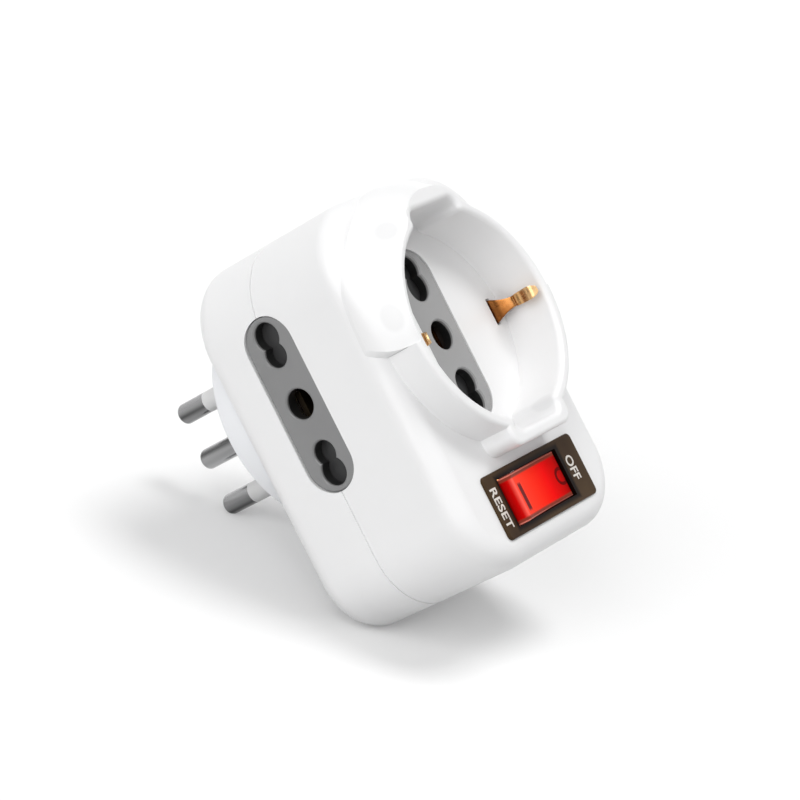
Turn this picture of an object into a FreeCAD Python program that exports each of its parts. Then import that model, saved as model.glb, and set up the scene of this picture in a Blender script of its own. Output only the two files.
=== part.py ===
import FreeCAD, Part
import math
import os
from FreeCAD import Vector

os.makedirs("parts", exist_ok=True)

# Frame: X across the casing, Y from the front towards the wall, Z up. Lengths are in millimetres.
# The sizes are laid out from the plane where the two casing halves meet, on the axis of the centre pin.
# Each sub-part is then set down with the origin at the root of that pin, on the nose of the plug.

# Casing
half_width = 24.5
top_z = 28.3
bottom_z = -41.9
top_corner = 14.5
bottom_corner = 12.0
front_y = -20.4
back_y = 15.4
front_round = 4.0
rear_round = 4.0
wall = 2.0
seam_width = 0.2
seam_depth = 0.3

# Front recess, its collar and the two notches
recess_radius = 19.7
recess_depth = 10.4
rim_y = -27.2
collar_wall = 2.3
notch_half = 7.3
notch_z = 21.2
notch_corner = 2.0
notch_blend = 1.2
ear_wall = 2.4
ear_inner_wall = 1.2
ear_corner = 2.5
floor_wall = 1.6
rim_round = 0.8
mouth_round = 1.0

# Raised shoulder round the upper half of the recess
# Each section: depth behind the rim, and how far the curve has gone from the casing outline to the rim.
shoulder_sections = ((13.0, 0.0), (9.5, 0.0), (7.4, 0.02), (5.9, 0.17), (4.2, 0.42), (2.2, 0.71), (0.8, 0.91), (0.0, 1.0))
shoulder_low_z = 0.0
shoulder_foot_round = 3.0
shoulder_margin = 1.3
shoulder_top_margin = 3.0
notch_swell_angle = 21.0
shoulder_root = 0.05
shoulder_power = 20.0
shoulder_wall = 2.2

# Socket plates
pole_near = 9.5
pole_far = 13.0
earth_hole = 2.8
side_near_hole = 2.35
side_far_hole = 2.65
front_near_hole = 2.8
front_far_hole = 2.6
plate_length = 33.2
plate_width = 10.5
plate_sink = 0.3
plate_thickness = 1.8
flange_margin = 1.2
flange_thickness = 0.8
fit_gap = 0.12
slide_gap = 0.1

# Shutters
shutter_thickness = 1.2
shutter_half = 2.95
shutter_overlap = 0.4
shutter_travel = 5.2
shutter_bridge_gap = 0.4
shutter_bridge = 1.7
spring_radius = 0.42
spring_wire = 0.22
spring_turns = 7
spring_closed = 1.8
spring_post = 1.2
spring_post_half = 1.5

# Contact clips and bars
clip_gap = 3.8
clip_metal = 0.6
clip_depth = 8.4
clip_start = 6.6
earth_clip_half = 2.4
bar_thickness = 0.8
bar_half = 2.4
bar_end_gap = 4.5
pillar_near = 5.5
pillar_far = 8.5
pillar_height = 2.6
pillar_bite = 0.4

# Copper springs that rise on the recess wall
copper_metal = 0.5
copper_fold = 0.7
copper_foot_in = 2.9
copper_slope = 5.2
copper_waist = 1.0
copper_head = 1.15
copper_tip = 0.7
slot_near = 0.3
slot_far = 0.8
slot_gap = 0.2

# Rotating plug
plug_edge = 3.0
plug_face_y = 20.4
plug_edge_round = 0.5
plug_gap = 0.3
neck_radius = 16.5
neck_fit = 0.05
ring_lap = 2.8
ring_inner = 12.4
ring_thickness = 1.8
nose_height = 6.0
nose_half_width = 5.2
nose_half_length = 14.6
pin_pitch = 9.5
pin_radius = 2.0
pin_tail_radius = 1.7
pin_length = 19.0
pin_tip_round = 0.9
sleeve_length = 11.8
sleeve_wall = 0.35
ring_screw_radius = 0.9
ring_screw_grip = 4.5
ring_screw_head = 1.5
turn_range = 90.0
stop_angle = 80.0
stop_half_angle = 5.0
stop_gap_angle = 1.2
stop_depth = 2.4
stop_lug_drop = 1.1

# Carrier of the arc contacts
carrier_edge = 5.7
carrier_y = 7.0
carrier_thickness = 1.4
arc_inner = 7.8
arc_outer = 11.2
arc_overrun = 24.0
carrier_tab_half = 5.0
carrier_tab_z = 24.0
carrier_post = 2.6
feed_near = 6.0
feed_far = 8.0
feed_fall_z = 20.7
feed_root_z = 7.4

# Switch
switch_z = -31.45
rocker_x = -1.25
bezel_half_length = 15.05
bezel_half_height = 6.0
bezel_proud = 0.6
bezel_corner = 1.0
bezel_body_half = 13.4
bezel_body_height = 5.4
bezel_end_y = -14.0
rocker_half_height = 4.35
rocker_gap = 0.2
rocker_pivot_y = -17.2
rocker_end_radius = 10.1
rocker_top = 3.75
rocker_end_top = 4.5
rocker_skirt = 1.5
rocker_hub_wide = 2.2
rocker_hub_narrow = 1.6
plunger_radius = 1.0
plunger_root = 0.9
plunger_tip = 3.4
rocker_tilt = 7.0
aperture_half = 9.95
lip_thickness = 1.1
pivot_radius = 0.75
pivot_fit = 0.05
case_end_y = -4.0
case_half_length = 12.8
case_half_height = 5.2
case_wall = 0.8
arm_half_length = 8.0
arm_half_height = 1.5
arm_thickness = 0.6
arm_knuckle = 0.5
arm_knuckle_end = 0.7
arm_y = -12.6
arm_tilt = 4.0
terminal_x = 7.0
terminal_half = 0.8
button_radius = 1.1
button_height = 0.4
button_gap = 1.2
lamp_gap = 0.4
bimetal_half = 9.5
bimetal_front_y = -11.5
bimetal_low = 4.0
bimetal_thickness = 0.4
lamp_radius = 1.1
lamp_half = 4.0
lamp_y = -10.6
lamp_rise = 3.0
resistor_radius = 0.9
resistor_half = 3.0
resistor_y = -6.4
resistor_rise = 3.1

# Screws that close the casing
screw_side = 7.0
screw_side_low = 7.9
screw_below_top = 7.6
screw_above_bottom = 8.6
boss_radius = 3.0
screw_radius = 1.4
screw_head_radius = 2.6
screw_head_height = 1.8
screw_head_y = 9.6
screw_end_y = -12.0
screw_slot_half = 0.3
screw_slot_reach = 1.5
screw_slot_depth = 1.0
screw_well_wall = 0.9

# Places that follow from the sizes above
floor_y = rim_y + recess_depth
floor_back_y = floor_y + floor_wall
collar_radius = recess_radius + collar_wall
ear_half = notch_half + collar_wall
ear_z = notch_z + ear_wall
inner_half = half_width - wall
inner_back_y = back_y - wall
plug_back_y = back_y + plug_gap
nose_y = plug_face_y + nose_height
pin_tip_y = nose_y + pin_length
neck_end_y = inner_back_y - plug_gap
ring_end_y = neck_end_y - ring_thickness
plate_flange_x = inner_half - 0.05
shutter_x = plate_flange_x - flange_thickness - slide_gap
clip_x = shutter_x - shutter_thickness - slide_gap
front_flange_y = floor_back_y + 0.05
front_shutter_y = front_flange_y + flange_thickness + slide_gap
front_clip_y = front_shutter_y + shutter_thickness + slide_gap
clip_outer_z = pole_far + side_far_hole + 0.45
bar_z = clip_outer_z + clip_metal
arc_y = carrier_y + carrier_thickness
arc_top_y = arc_y + bar_thickness
clip_outer = clip_gap / 2 + clip_metal
bar_reach = half_width - bar_end_gap
plug_radius = half_width - plug_edge
ring_radius = neck_radius + ring_lap
ring_screw_circle = 0.5 * (ring_inner + neck_radius)
carrier_radius = half_width - carrier_edge
stop_inner = carrier_radius - stop_depth
copper_foot_x = recess_radius - copper_foot_in
screw_top = (half_width - screw_side, top_z - screw_below_top)
screw_bottom = (half_width - screw_side_low, bottom_z + screw_above_bottom)
spring_start = shutter_half + shutter_bridge_gap + shutter_bridge
spring_length = shutter_travel + spring_closed
plate_face = plate_thickness - plate_sink + 0.25
pivot_length = 2 * bezel_body_height - 0.4


def save(shape, node):
    """Writes one sub-part under its own name, with the origin at the root of the centre pin."""
    placed = shape.copy()
    placed.translate(Vector(0, -nose_y, 0))
    placed.exportStep("parts/" + node + ".step")


def box(x0, x1, y0, y1, z0, z1):
    """A block between two corners."""
    return Part.makeBox(x1 - x0, y1 - y0, z1 - z0, Vector(x0, y0, z0))


def rod(radius, y0, y1, x=0.0, z=0.0):
    """A cylinder along Y."""
    return Part.makeCylinder(radius, y1 - y0, Vector(x, y0, z), Vector(0, 1, 0))


def rod_x(radius, x0, x1, y, z):
    """A cylinder along X."""
    return Part.makeCylinder(radius, x1 - x0, Vector(x0, y, z), Vector(1, 0, 0))


def merge(shapes):
    """Joins overlapping or touching shapes to one solid."""
    return shapes[0].multiFuse(shapes[1:]).removeSplitter()


def edges_in_plane(shape, y, accept=None):
    """The edges that lie in the plane at this Y."""
    found = []
    for edge in shape.Edges:
        bounds = edge.BoundBox
        flat = abs(bounds.YMin - y) < 1e-4 and abs(bounds.YMax - y) < 1e-4
        if flat and (accept is None or accept(edge)):
            found.append(edge)
    return found


def outline(inset, y0, y1):
    """The casing's rounded outline, drawn in by inset and run along Y."""
    x = half_width - inset
    z0, z1 = bottom_z + inset, top_z - inset
    low, high = bottom_corner - inset, top_corner - inset
    c = math.sqrt(0.5)
    right_low = Part.Arc(Vector(x - low, y0, z0), Vector(x - low + low * c, y0, z0 + low - low * c),
                         Vector(x, y0, z0 + low))
    right_high = Part.Arc(Vector(x, y0, z1 - high), Vector(x - high + high * c, y0, z1 - high + high * c),
                          Vector(x - high, y0, z1))
    left_high = Part.Arc(Vector(-x + high, y0, z1), Vector(-x + high - high * c, y0, z1 - high + high * c),
                         Vector(-x, y0, z1 - high))
    left_low = Part.Arc(Vector(-x, y0, z0 + low), Vector(-x + low - low * c, y0, z0 + low - low * c),
                        Vector(-x + low, y0, z0))
    pieces = [Part.LineSegment(Vector(-x + low, y0, z0), Vector(x - low, y0, z0)), right_low,
              Part.LineSegment(Vector(x, y0, z0 + low), Vector(x, y0, z1 - high)), right_high,
              Part.LineSegment(Vector(x - high, y0, z1), Vector(-x + high, y0, z1)), left_high,
              Part.LineSegment(Vector(-x, y0, z1 - high), Vector(-x, y0, z0 + low)), left_low]
    wire = Part.Wire([piece.toShape() for piece in pieces])
    return Part.Face(wire).extrude(Vector(0, y1 - y0, 0))


def stadium(half_length, radius, depth):
    """A plate with round ends, standing along Z, from Y = 0 to depth."""
    straight = half_length - radius
    ends = [rod(radius, 0, depth, 0, z) for z in (-straight, straight)]
    return merge([box(-radius, radius, 0, depth, -straight, straight)] + ends)


def turned(shape, side):
    """Turns a front-facing shape so that it faces the side socket; side is -1 or 1."""
    copy = shape.copy()
    copy.rotate(Vector(0, 0, 0), Vector(0, 0, 1), 90 * side)
    return copy


def moved(shape, x=0.0, y=0.0, z=0.0):
    """A copy moved by the given distances."""
    copy = shape.copy()
    copy.translate(Vector(x, y, z))
    return copy


def rounded_block(half_x, half_z, corner, y0, y1, z):
    """A block along Y with its four long edges rounded, centred on X = 0."""
    block = box(-half_x, half_x, y0, y1, z - half_z, z + half_z)
    long_edges = [e for e in block.Edges if e.BoundBox.YLength > 0.5 * (y1 - y0)]
    return block.makeFillet(corner, long_edges)


def drum_radius(angle, inset):
    """Distance from the recess axis to the shoulder's wall: a drum as high as the casing, cut off at its sides."""
    drum = top_z - shoulder_root - inset
    side = (half_width - shoulder_root - inset) / max(abs(math.cos(angle)), 0.01)
    return (drum ** -shoulder_power + side ** -shoulder_power) ** (-1.0 / shoulder_power)


def rim_radius(angle, inset):
    """Distance from the recess axis to the outer edge of the rim, which swells over the upper notch."""
    from_top = math.degrees(math.acos(max(-1.0, min(1.0, math.sin(angle)))))
    swell = math.exp(-((from_top / notch_swell_angle) ** 4))
    side = recess_radius + shoulder_margin
    return side + (notch_z + shoulder_top_margin - side) * swell - inset


def shoulder_wire(y, blend, inset):
    """A closed curve between the casing outline (blend 0) and the rim (blend 1)."""
    points = []
    count = 72
    for i in range(count):
        angle = 2 * math.pi * i / count
        near = drum_radius(angle, inset)
        reach = near + (rim_radius(angle, inset) - near) * blend
        points.append(Vector(reach * math.cos(angle), y, reach * math.sin(angle)))
    curve = Part.BSplineCurve()
    curve.interpolate(points, True)
    return Part.Wire([curve.toShape()])


def shoulder(inset):
    """The raised shoulder: a loft from the casing outline to the rim, kept above the step."""
    wires = [shoulder_wire(rim_y + depth + 0.6 * inset, blend, inset) for depth, blend in shoulder_sections]
    loft = Part.makeLoft(wires, True, False)
    low = shoulder_low_z + inset
    keep = box(-half_width, half_width, rim_y - 1, rim_y + shoulder_sections[0][0] + inset, low, top_z)
    feet = [e for e in keep.Edges if e.BoundBox.ZMax < low + 0.01 and e.BoundBox.YLength > 1]
    return loft.common(keep.makeFillet(shoulder_foot_round, feet))


def recess_space(gap, y0, y1):
    """The round recess with its two notches, grown by gap."""
    notch = rounded_block(notch_half + gap, notch_z + gap, notch_corner, y0, y1, 0)
    space = merge([rod(recess_radius + gap, y0, y1), notch])
    meetings = []
    for edge in space.Edges:
        place = edge.Vertexes[0].Point
        along_y = edge.BoundBox.YLength > 0.5 * (y1 - y0)
        on_notch = abs(abs(place.x) - notch_half - gap) < 0.01
        on_round = abs(math.hypot(place.x, place.z) - recess_radius - gap) < 0.01
        if along_y and on_notch and on_round:
            meetings.append(edge)
    return space.makeFillet(notch_blend, meetings)


def on_recess_edge(edge):
    """True for an edge of the recess or its notches."""
    for vertex in edge.Vertexes:
        x, z = abs(vertex.Point.x), abs(vertex.Point.z)
        round_part = abs(math.hypot(x, z) - recess_radius) < 0.01
        notch_part = x < notch_half + 0.01 and z < notch_z + 0.01
        if not (round_part or notch_part):
            return False
    return True


def screw_places():
    """Centres of the four casing screws in X and Z."""
    return [(s * x, z) for x, z in (screw_top, screw_bottom) for s in (-1, 1)]


def seam_groove(y0, y1):
    """The thin ring cut from each half where they meet, which shows as the seam line."""
    return outline(-0.5, y0, y1).cut(outline(seam_depth, y0, y1))


def side_window():
    """The openings for the two side plates, with a seat for each plate's flange where the wall bends."""
    cuts = []
    for side in (-1, 1):
        window = stadium(plate_length / 2 + fit_gap, plate_width / 2 + fit_gap, wall + 3)
        cuts.append(turned(moved(window, y=-half_width - 1), side))
        seat = stadium(plate_length / 2 + flange_margin + fit_gap, plate_width / 2 + flange_margin + fit_gap, wall)
        cuts.append(turned(moved(seat, y=-inner_half), side))
    return cuts


def front_shell():
    """Front half: outer skin, recess cup, ears, shoulder, bosses and the pillars for the bars."""
    body = outline(0, front_y, 0)
    body = body.makeFillet(front_round, edges_in_plane(body, front_y))
    cavity = outline(wall, front_y + wall, 1)
    cavity = cavity.makeFillet(front_round - wall, edges_in_plane(cavity, front_y + wall))
    collar = rod(collar_radius, rim_y, floor_back_y)
    thin_collar = rod(recess_radius + ear_inner_wall, rim_y, floor_back_y)
    above = box(-half_width, half_width, rim_y - 1, floor_back_y + 1, shoulder_low_z, top_z)
    lower_ear = rounded_block(ear_half, 0.5 * ear_z, ear_corner, rim_y, floor_back_y, -0.5 * ear_z)
    upper_ear = rounded_block(notch_half + ear_inner_wall, 0.5 * (notch_z + ear_inner_wall),
                              notch_corner + ear_inner_wall, rim_y, floor_back_y, 0.5 * (notch_z + ear_inner_wall))
    cup = merge([collar, lower_ear])
    cup = cup.makeFillet(rim_round, edges_in_plane(cup, rim_y))
    cup = merge([cup.cut(above), thin_collar, upper_ear])
    outer = merge([body, shoulder(0), cup])
    skin = outer.cut(cavity.cut(cup)).cut(shoulder(shoulder_wall).cut(cup))
    skin = skin.cut(recess_space(0, rim_y - 1, floor_y))
    mouth = edges_in_plane(skin, rim_y, on_recess_edge)
    skin = skin.makeFillet(mouth_round, mouth)
    window = stadium(plate_length / 2 + fit_gap, plate_width / 2 + fit_gap, 3 * floor_wall)
    window = moved(window, y=floor_y - floor_wall)
    skin = skin.cut(window)
    bosses = [rod(boss_radius, rim_y, 0, x, z).common(outer) for x, z in screw_places()]
    pillar_z = bar_z - pillar_bite
    for x in (-1, 1):
        for z in (-1, 1):
            low, high = sorted((z * pillar_z, z * (pillar_z + pillar_height)))
            left, right = sorted((x * pillar_near, x * pillar_far))
            bosses.append(box(left, right, floor_back_y - 0.5, -bar_half, low, high))
    stop_x = spring_start + spring_length
    bosses.append(box(stop_x, stop_x + spring_post, floor_back_y - 0.5, front_shutter_y + shutter_thickness,
                      -spring_post_half, spring_post_half))
    skin = merge([skin] + bosses)
    cuts = side_window()
    cuts += [rod(screw_radius - 0.15, screw_end_y - 1, 1, x, z) for x, z in screw_places()]
    cuts.append(box(-bezel_body_half - fit_gap, bezel_body_half + fit_gap, front_y - 1, front_y + wall + 1,
                    switch_z - bezel_body_height - fit_gap, switch_z + bezel_body_height + fit_gap))
    for side in (-1, 1):
        slot_low, slot_high = sorted((side * (copper_foot_x - slot_near), side * (copper_foot_x + slot_far)))
        half = earth_clip_half + slot_gap
        cuts.append(box(slot_low, slot_high, floor_y - 0.5, floor_back_y + 0.5, -half, half))
    cuts.append(seam_groove(-seam_width, 0.01))
    return skin.cut(cuts)


def rear_shell():
    """Rear half: outer skin with the round opening for the plug, screw wells and carrier posts."""
    body = outline(0, 0, back_y)
    body = body.makeFillet(rear_round, edges_in_plane(body, back_y))
    cavity = outline(wall, -1, inner_back_y)
    cavity = cavity.makeFillet(rear_round - wall, edges_in_plane(cavity, inner_back_y))
    skin = body.cut(cavity)
    wells = [rod(boss_radius + screw_well_wall, screw_head_y - 1.6, back_y - 2, x, z).common(body)
             for x, z in screw_places()]
    wells += [rod(boss_radius, 0, screw_head_y, x, z) for x, z in screw_places()]
    for side in (-1, 1):
        low, high = sorted((side * (carrier_tab_z - carrier_post), side * carrier_tab_z))
        wells.append(box(-carrier_post, carrier_post, arc_y, inner_back_y + 0.5, low, high))
    skin = merge([skin] + wells)
    cuts = side_window()
    cuts.append(rod(neck_radius + neck_fit, inner_back_y - 2, back_y + 1))
    for x, z in screw_places():
        cuts.append(rod(screw_head_radius + 0.3, screw_head_y, back_y + 1, x, z))
        cuts.append(rod(screw_radius + 0.15, -1, screw_head_y + 1, x, z))
    cuts.append(seam_groove(-0.01, seam_width))
    return skin.cut(cuts)


def pole_holes(near, far, y0, y1):
    """Two pairs of joined round holes, one pair for each pole, with the earth hole between them."""
    holes = [rod(earth_hole, y0, y1)]
    for side in (-1, 1):
        holes.append(rod(near, y0, y1, 0, side * pole_near))
        holes.append(rod(far, y0, y1, 0, side * pole_far))
    return merge(holes[1:3]).fuse(merge(holes[3:5])).fuse(holes[0])


def socket_plate(near, far, thickness):
    """A socket plate facing front: its face at Y = 0, with a flange behind that holds it in its window."""
    face = stadium(plate_length / 2, plate_width / 2, thickness)
    rim_edge = edges_in_plane(face, 0)
    face = face.makeFillet(0.35, rim_edge)
    flange = moved(stadium(plate_length / 2 + flange_margin, plate_width / 2 + flange_margin, flange_thickness),
                   y=thickness)
    plate = merge([face, flange])
    plate = plate.cut(pole_holes(near, far, -1, thickness + flange_thickness + 1))
    mouths = edges_in_plane(plate, 0, lambda e: e.BoundBox.XMax < plate_width / 2 - 1.5)
    return plate.makeChamfer(0.25, mouths)


def shutter():
    """A shutter facing front, its face at Y = 0: one pad over each pair of pole holes, joined by a bridge."""
    low = pole_near - front_near_hole - shutter_overlap
    high = pole_far + front_near_hole + 0.1
    bridge_x = shutter_half + shutter_bridge_gap
    pads = []
    for side in (-1, 1):
        z0, z1 = sorted((side * low, side * high))
        pads.append(box(-shutter_half, bridge_x, 0, shutter_thickness, z0, z1))
    pads.append(box(bridge_x, bridge_x + shutter_bridge, 0, shutter_thickness, -high, high))
    return merge(pads)


def spring(radius, wire, length, turns):
    """An open coil spring along X, from X = 0 to its length."""
    pitch = (length - wire) / turns
    helix = Part.makeHelix(pitch, pitch * turns, radius)
    section = Part.Wire([Part.makeCircle(wire / 2, Vector(radius, 0, 0), Vector(0, 1, 0))])
    coil = Part.Wire(helix.Edges).makePipeShell([section], True, False)
    coil.rotate(Vector(0, 0, 0), Vector(0, 1, 0), 90)
    coil.translate(Vector(wire / 2, 0, 0))
    return coil


def pole_clip(sign):
    """A line or neutral clip facing front, its mouth at Y = 0: two blades joined by a web at the outer end."""
    z0, z1 = sorted((sign * clip_start, sign * clip_outer_z))
    w0, w1 = sorted((sign * clip_outer_z, sign * bar_z))
    blades = [box(s * clip_gap / 2 if s > 0 else -clip_outer, clip_outer if s > 0 else -clip_gap / 2,
                  0, clip_depth, z0, z1) for s in (-1, 1)]
    web = box(-clip_outer, clip_outer, 0, clip_depth, w0, w1)
    return merge(blades + [web])


def centre_clip(depth):
    """An earth clip facing front, its mouth at Y = 0: two blades joined by a web at the back."""
    blades = [box(-clip_outer, -clip_gap / 2, 0, depth, -earth_clip_half, earth_clip_half),
              box(clip_gap / 2, clip_outer, 0, depth, -earth_clip_half, earth_clip_half)]
    web = box(-clip_outer, clip_outer, depth, depth + clip_metal, -earth_clip_half, earth_clip_half)
    return merge(blades + [web])


def pole_bar(sign):
    """The bar that joins the three clips of one pole."""
    z0, z1 = sorted((sign * bar_z, sign * (bar_z + bar_thickness)))
    across = box(-bar_reach, bar_reach, -bar_half, bar_half, z0, z1)
    forward = box(-bar_half, bar_half, front_clip_y, -bar_half + 1, z0, z1)
    return merge([across, forward])


def earth_bar():
    """The bar behind the side earth clips, with a link forward to the front earth clip."""
    across = box(-bar_reach, bar_reach, clip_outer, clip_outer + bar_thickness, -earth_clip_half, earth_clip_half)
    link = box(-bar_thickness / 2, bar_thickness / 2, front_clip_y + clip_depth - 1 + clip_metal, clip_outer + 0.1,
               -earth_clip_half, earth_clip_half)
    return merge([across, link])


def earth_spring(side):
    """A copper clip: a strap under the floor and a blade up the recess wall, waisted and rounded at its tip."""
    metal, foot_x = copper_metal, copper_foot_x
    profile = [Vector(clip_outer, front_clip_y + copper_fold, 0), Vector(clip_outer, front_clip_y, 0),
               Vector(foot_x, front_clip_y, 0), Vector(foot_x, floor_y - 0.6, 0),
               Vector(foot_x + 1.0, floor_y - copper_slope, 0), Vector(recess_radius - 0.75, rim_y + 1.6, 0),
               Vector(recess_radius - 0.95, rim_y + 0.7, 0), Vector(recess_radius - 0.55, rim_y + 0.5, 0),
               Vector(recess_radius - 0.25, rim_y + 1.6, 0), Vector(foot_x + 1.0 + metal, floor_y - copper_slope, 0),
               Vector(foot_x + metal, floor_y - 0.6, 0), Vector(foot_x + metal, front_clip_y + copper_fold, 0)]
    profile.append(profile[0])
    sheet = Part.Face(Part.makePolygon(profile)).extrude(Vector(0, 0, 2 * earth_clip_half))
    sheet.translate(Vector(0, 0, -earth_clip_half))
    waist_y = floor_y - 4.0
    tip_y = rim_y + 0.4
    shape = [Vector(0, 0, -earth_clip_half), Vector(0, floor_y - 0.4, -earth_clip_half),
             Vector(0, waist_y, -copper_waist), Vector(0, tip_y + 0.8, -copper_head),
             Vector(0, tip_y, -copper_tip), Vector(0, tip_y, copper_tip),
             Vector(0, tip_y + 0.8, copper_head), Vector(0, waist_y, copper_waist),
             Vector(0, floor_y - 0.4, earth_clip_half), Vector(0, 0, earth_clip_half)]
    shape.append(shape[0])
    keep = Part.Face(Part.makePolygon(shape)).extrude(Vector(recess_radius + 1, 0, 0))
    blade = sheet.common(keep)
    if side < 0:
        blade = blade.mirror(Vector(0, 0, 0), Vector(1, 0, 0))
    return blade


def plug_base():
    """The round base, its neck through the rear shell, and the raised nose that the pins stand on."""
    disc = rod(plug_radius, plug_back_y, plug_face_y)
    disc = disc.makeFillet(plug_edge_round, edges_in_plane(disc, plug_face_y))
    neck = rod(neck_radius, neck_end_y, plug_back_y + 0.5)
    nose = moved(stadium(nose_half_length, nose_half_width, nose_height + 1), y=plug_face_y - 1)
    nose = nose.makeFillet(0.8, edges_in_plane(nose, nose_y))
    body = merge([disc, neck, nose])
    cuts = [rod(pin_tail_radius, neck_end_y - 1, nose_y + 1, 0, z) for z in (-pin_pitch, 0, pin_pitch)]
    cuts += [rod(ring_screw_radius + pivot_fit, neck_end_y - 1, neck_end_y + ring_screw_grip + 0.5, x, z)
             for x, z in ring_screw_places()]
    return body.cut(cuts)


def ring_screw_places():
    """Centres of the three screws of the retaining ring."""
    angles = [math.radians(a) for a in (30, 150, 270)]
    return [(ring_screw_circle * math.cos(a), ring_screw_circle * math.sin(a)) for a in angles]


def pin(z, tail_y):
    """A round pin with a rounded tip and a thinner tail that runs through the base to its contact."""
    shape = rod(pin_radius, nose_y, pin_tip_y, 0, z)
    shape = shape.makeFillet(pin_tip_round, edges_in_plane(shape, pin_tip_y))
    return merge([shape, rod(pin_tail_radius, tail_y, nose_y + 1, 0, z)])


def sleeved_pin(z, tail_y):
    """A pin turned down where its sleeve sits flush."""
    waist = rod(pin_radius + 1, nose_y, nose_y + sleeve_length, 0, z)
    waist = waist.cut(rod(pin_radius - sleeve_wall, nose_y, nose_y + sleeve_length, 0, z))
    return pin(z, tail_y).cut(waist)


def sleeve(z):
    """The insulating sleeve round the root of an outer pin."""
    tube = rod(pin_radius, nose_y, nose_y + sleeve_length, 0, z)
    return tube.cut(rod(pin_radius - sleeve_wall, nose_y - 1, nose_y + sleeve_length + 1, 0, z))


def sector(inner, outer, y0, y1, start, end):
    """Part of a ring between two angles, counted in degrees from +X towards +Z."""
    arm = Part.makeCylinder(outer, y1 - y0, Vector(0, 0, 0), Vector(0, 0, 1), end - start)
    hole = Part.makeCylinder(inner, y1 - y0, Vector(0, 0, 0), Vector(0, 0, 1), 360)
    ring = arm.cut(hole)
    ring.rotate(Vector(0, 0, 0), Vector(0, 0, 1), start)
    ring.rotate(Vector(0, 0, 0), Vector(1, 0, 0), 90)
    ring.translate(Vector(0, y1, 0))
    return ring


def retaining_ring():
    """The ring screwed to the neck inside the rear shell, with the lug that meets the turn stops."""
    ring = rod(ring_radius, ring_end_y, neck_end_y).cut(rod(ring_inner, ring_end_y - 1, neck_end_y + 1))
    lug = sector(stop_inner, ring_radius, ring_end_y - stop_lug_drop, ring_end_y + 0.5,
                 stop_angle - stop_half_angle, stop_angle + stop_half_angle)
    holes = [rod(ring_screw_radius + pivot_fit, ring_end_y - 1, neck_end_y + 1, x, z)
             for x, z in ring_screw_places()]
    return merge([ring, lug]).cut(holes)


def contact_carrier():
    """The fixed plate for the arc contacts, with a tab at each end and two posts that stop the turn."""
    plate = rod(carrier_radius, carrier_y, arc_y)
    tabs = box(-carrier_tab_half, carrier_tab_half, carrier_y, arc_y, -carrier_tab_z, carrier_tab_z)
    posts = []
    reach = 2 * stop_half_angle + stop_gap_angle
    for angle in (stop_angle + reach, stop_angle - turn_range - reach):
        posts.append(sector(stop_inner, carrier_radius - 0.3, arc_y - 0.5, ring_end_y - 0.3,
                            angle - stop_half_angle, angle + stop_half_angle))
    return merge([plate, tabs] + posts).cut(rod(pin_radius + 0.6, carrier_y - 1, arc_y + 1))


def arc_contact(sign):
    """An arc that one turning pin slides on, with a tab to the edge of the carrier and a strip forward."""
    start = 90 - turn_range - arc_overrun
    end = 90 + arc_overrun
    arc = sector(arc_inner, arc_outer, arc_y, arc_top_y, start, end)
    fall_z = feed_fall_z
    tab = box(feed_near, feed_far, arc_y, arc_top_y, feed_root_z, fall_z + bar_thickness)
    if sign > 0:
        front = -bar_thickness / 2
        foot = box(feed_near, feed_far, front, front + bar_thickness, bar_z + bar_thickness, fall_z + bar_thickness)
    else:
        front = -bar_half
        foot = box(feed_near, feed_far, front, front + bar_thickness, fall_z, -switch_z + arm_half_height)
    strip = box(feed_near, feed_far, front, arc_top_y, fall_z, fall_z + bar_thickness)
    contact = merge([arc, tab, strip, foot])
    if sign < 0:
        contact.rotate(Vector(0, 0, 0), Vector(0, 1, 0), 180)
    return contact


def switch_bezel():
    """The dark frame: a thin flange on the casing, a lip round the rocker and a box behind it."""
    front = front_y - bezel_proud
    flange = rounded_block(bezel_half_length, bezel_half_height, bezel_corner, front, front_y, switch_z)
    flange = flange.makeFillet(0.3, edges_in_plane(flange, front))
    block = box(-bezel_body_half, bezel_body_half, front_y - 0.1, bezel_end_y,
                switch_z - bezel_body_height, switch_z + bezel_body_height)
    frame = merge([flange, block])
    height = rocker_half_height + rocker_gap
    mouth = box(rocker_x - aperture_half, rocker_x + aperture_half, front - 1, bezel_end_y + 1,
                switch_z - height, switch_z + height)
    reach = rocker_end_radius + 0.6
    room = box(rocker_x - reach, rocker_x + reach, front + lip_thickness, bezel_end_y + 1,
               switch_z - height, switch_z + height)
    pivot = Part.makeCylinder(pivot_radius, pivot_length,
                              Vector(rocker_x, rocker_pivot_y, switch_z - pivot_length / 2))
    return frame.cut([mouth, room, pivot])


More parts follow.
